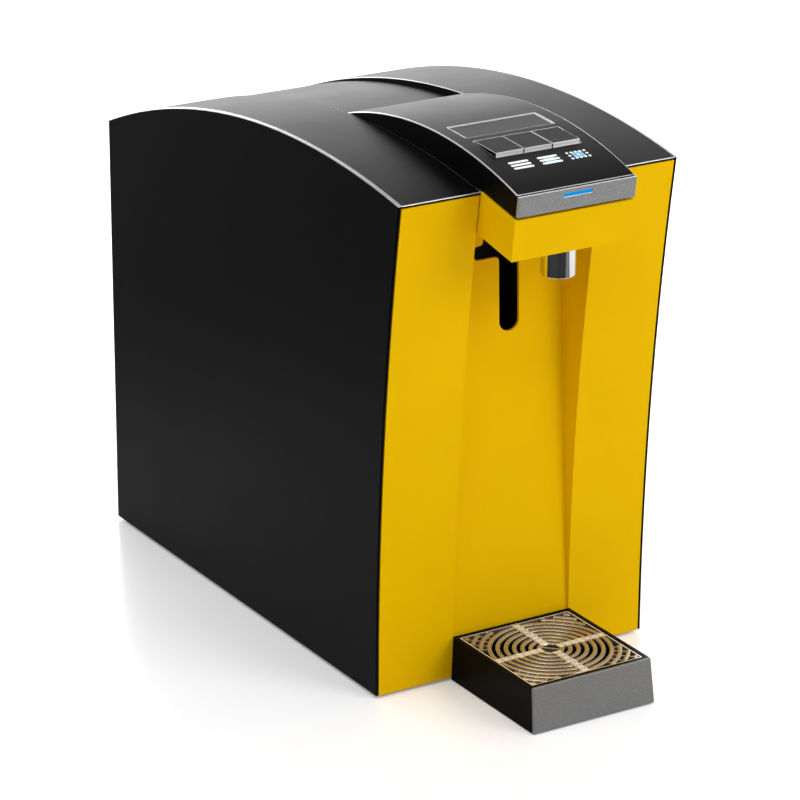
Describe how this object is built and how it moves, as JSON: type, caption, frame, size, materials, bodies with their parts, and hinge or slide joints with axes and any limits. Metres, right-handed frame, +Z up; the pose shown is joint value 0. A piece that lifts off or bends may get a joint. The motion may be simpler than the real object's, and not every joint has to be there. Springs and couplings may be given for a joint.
{
  "type": "countertop water purifier",
  "caption": "Tall slim countertop water purifier with an arched top, coloured leaning front, hooded spout with push buttons, and a pull-out drip tray with a round-patterned grille.",
  "frame": {"origin": "centre of the part's bounding box, on the worktop", "axes": "+X to the right as seen from the front, +Y from the front to the back, +Z up"},
  "size_m": [0.26, 0.5864, 0.4563],
  "materials": {
    "black_metal": "black powder coat with a fine texture",
    "hood_metal": "black powder coat with a fine texture",
    "yellow_metal": "satin yellow powder coat",
    "grey_metal": "grey metallic paint with fine flakes",
    "black_gloss": "black, with a thin light edge and nothing on it",
    "button_metal": "black top with a white icon, brushed grey front",
    "black_plastic": "fine grain",
    "white_plastic": "plain",
    "blue_plastic": "plain",
    "red_plastic": "plain",
    "tube_plastic": "milky tube",
    "foam": "closed-cell foam",
    "supply_case": "potted case",
    "board_green": "circuit board",
    "blue_light": "light bar that glows blue",
    "chrome": "polished plating",
    "steel": "stainless steel",
    "spring_steel": "spring wire",
    "screw_steel": "zinc plated",
    "zinc_steel": "zinc plated sheet",
    "aluminium": "bare fins",
    "black_cast": "black enamel",
    "pump_metal": "die-cast, painted",
    "copper": "copper tube",
    "rubber": "soft rubber"
  },
  "bodies": {
    "casing": {"badge_plate": "black_gloss", "base_pan": "zinc_steel", "board_screws": "screw_steel", "button_switches": "black_plastic", "carbonator": "steel", "centre_panel": "black_metal", "chilled_spring": "spring_steel", "cold_tank": "steel", "compressor": "black_cast", "compressor_mounts": "rubber", "condenser": "aluminium", "control_board": "board_green", "cross_rails": "zinc_steel", "divider": "zinc_steel", "fan_frame": "black_plastic", "fan_guard": "steel", "feet": "rubber", "filter_head": "white_plastic", "frame_posts": "zinc_steel", "front_panel": "yellow_metal", "gas_inlet": "white_plastic", "hood": "hood_metal", "hood_fascia": "grey_metal", "housing_screws": "screw_steel", "left_side_panel": "black_metal", "left_top_strip": "black_metal", "light_board": "board_green", "main_board": "board_green", "power_inlet": "black_plastic", "power_supply": "supply_case", "pump": "pump_metal", "rear_panel": "black_metal", "rear_screws": "screw_steel", "refrigerant_lines": "copper", "right_side_panel": "black_metal", "right_top_strip": "black_metal", "slot_pocket": "black_plastic", "sparkling_spring": "spring_steel", "spout": "chrome", "spout_elbow": "white_plastic", "spout_housing": "yellow_metal", "spout_insert": "black_plastic", "status_light": "blue_light", "still_spring": "spring_steel", "tank_jacket": "foam", "tray_pegs": "steel", "valve_block": "white_plastic", "water_inlet": "white_plastic", "water_tubes": "tube_plastic"},
    "still_key": {"still_button": "button_metal"},
    "chilled_key": {"chilled_button": "button_metal"},
    "sparkling_key": {"sparkling_button": "button_metal"},
    "tray": {"drip_tray": "black_plastic", "tray_fascia": "grey_metal"},
    "grille": {"drip_grille": "steel"},
    "power_switch": {"power_rocker": "black_plastic"},
    "fan": {"fan_rotor": "black_plastic"},
    "water_release": {"water_collar": "blue_plastic"},
    "gas_release": {"gas_collar": "red_plastic"},
    "filter": {"filter_cartridge": "white_plastic"}
  },
  "joints": [
    {"name": "still_press", "type": "slide", "parent": "casing", "child": "still_key", "axis": [0, 0, -1], "range_m": [0, 0.0012], "stiffness_N_per_m": 400, "deforming": ["still_spring"]},
    {"name": "chilled_press", "type": "slide", "parent": "casing", "child": "chilled_key", "axis": [0, 0, -1], "range_m": [0, 0.0012], "stiffness_N_per_m": 400, "deforming": ["chilled_spring"]},
    {"name": "sparkling_press", "type": "slide", "parent": "casing", "child": "sparkling_key", "axis": [0, 0, -1], "range_m": [0, 0.0012], "stiffness_N_per_m": 400, "deforming": ["sparkling_spring"]},
    {"name": "tray_pull", "type": "slide", "parent": "casing", "child": "tray", "axis": [0, -1, 0], "range_m": [0, 0.12]},
    {"name": "grille_lift", "type": "slide", "parent": "tray", "child": "grille", "axis": [0, 0, 1], "range_m": [0, 0.04]},
    {"name": "power_switch_rock", "type": "hinge", "parent": "casing", "child": "power_switch", "pos_m": [-0.092, 0.27915, 0.084], "axis": [1, 0, 0], "range_deg": [-18, 0]},
    {"name": "fan_spin", "type": "hinge", "parent": "casing", "child": "fan", "pos_m": [-0.051, 0.2645, 0.262], "axis": [0, 1, 0], "continuous": true},
    {"name": "water_release_push", "type": "slide", "parent": "casing", "child": "water_release", "axis": [0, -1, 0], "range_m": [0, 0.0012], "stiffness_N_per_m": 400},
    {"name": "gas_release_push", "type": "slide", "parent": "casing", "child": "gas_release", "axis": [0, -1, 0], "range_m": [0, 0.0012], "stiffness_N_per_m": 400},
    {"name": "filter_turn", "type": "hinge", "parent": "casing", "child": "filter", "pos_m": [0.068, 0.21715, 0.2], "axis": [0, 0, 1], "range_deg": [0, 90]}
  ]
}
